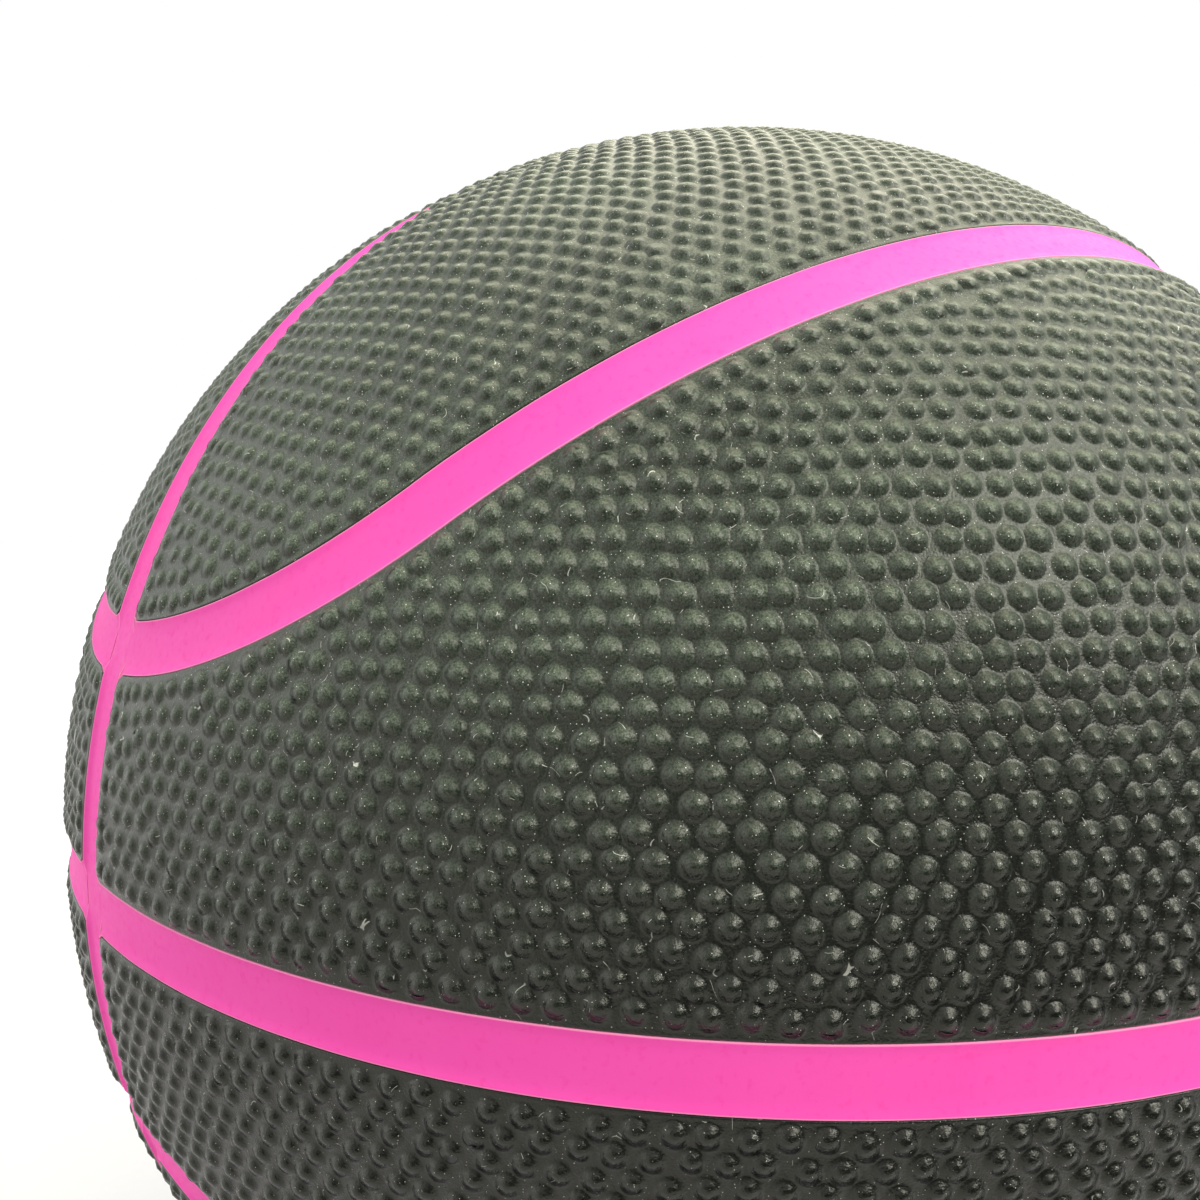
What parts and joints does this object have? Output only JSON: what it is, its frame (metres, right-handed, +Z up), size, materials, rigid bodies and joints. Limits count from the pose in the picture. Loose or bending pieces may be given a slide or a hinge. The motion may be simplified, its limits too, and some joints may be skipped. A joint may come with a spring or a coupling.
{
  "type": "basketball",
  "caption": "Inflatable rubber basketball with pebbled black panels, recessed pink channel strips and a replaceable needle valve, over a carcass, thread winding and air bladder.",
  "frame": {"origin": "centre of the ball", "axes": "+Z up; the plane of the equator seam is Z = 0, the ring seam lies in Y = 0, and the two cross on the X axis; -Y is the front, and the valve is on the lower back"},
  "size_m": [0.2302, 0.2304, 0.2304],
  "materials": {
    "panel_rubber": "matte moulded rubber with round pebbles",
    "strip_rubber": "satin hot-pink channel rubber",
    "carcass_rubber": "matte grey rubber",
    "winding_nylon": "off-white nylon thread set in latex",
    "bladder_butyl": "smooth black butyl",
    "valve_rubber": "smooth black rubber",
    "plug_rubber": "soft black rubber"
  },
  "bodies": {
    "ball": {"panel_loop_top_front": "panel_rubber", "panel_loop_top_back": "panel_rubber", "panel_loop_bottom_front": "panel_rubber", "panel_loop_bottom_back": "panel_rubber", "panel_band_top_front": "panel_rubber", "panel_band_top_back": "panel_rubber", "panel_band_bottom_front": "panel_rubber", "panel_band_bottom_back": "panel_rubber", "strip_ring": "strip_rubber", "strip_equator_front": "strip_rubber", "strip_equator_back": "strip_rubber", "strip_loop_top_front": "strip_rubber", "strip_loop_top_back": "strip_rubber", "strip_loop_bottom_front": "strip_rubber", "strip_loop_bottom_back": "strip_rubber", "carcass": "carcass_rubber", "winding": "winding_nylon", "bladder": "bladder_butyl", "valve_housing": "valve_rubber"},
    "plug": {"valve_plug": "plug_rubber"}
  },
  "joints": [
    {"name": "plug_slide", "type": "slide", "parent": "ball", "child": "plug", "axis": [0, 0.9178, -0.3971], "range_m": [0, 0.016]}
  ]
}
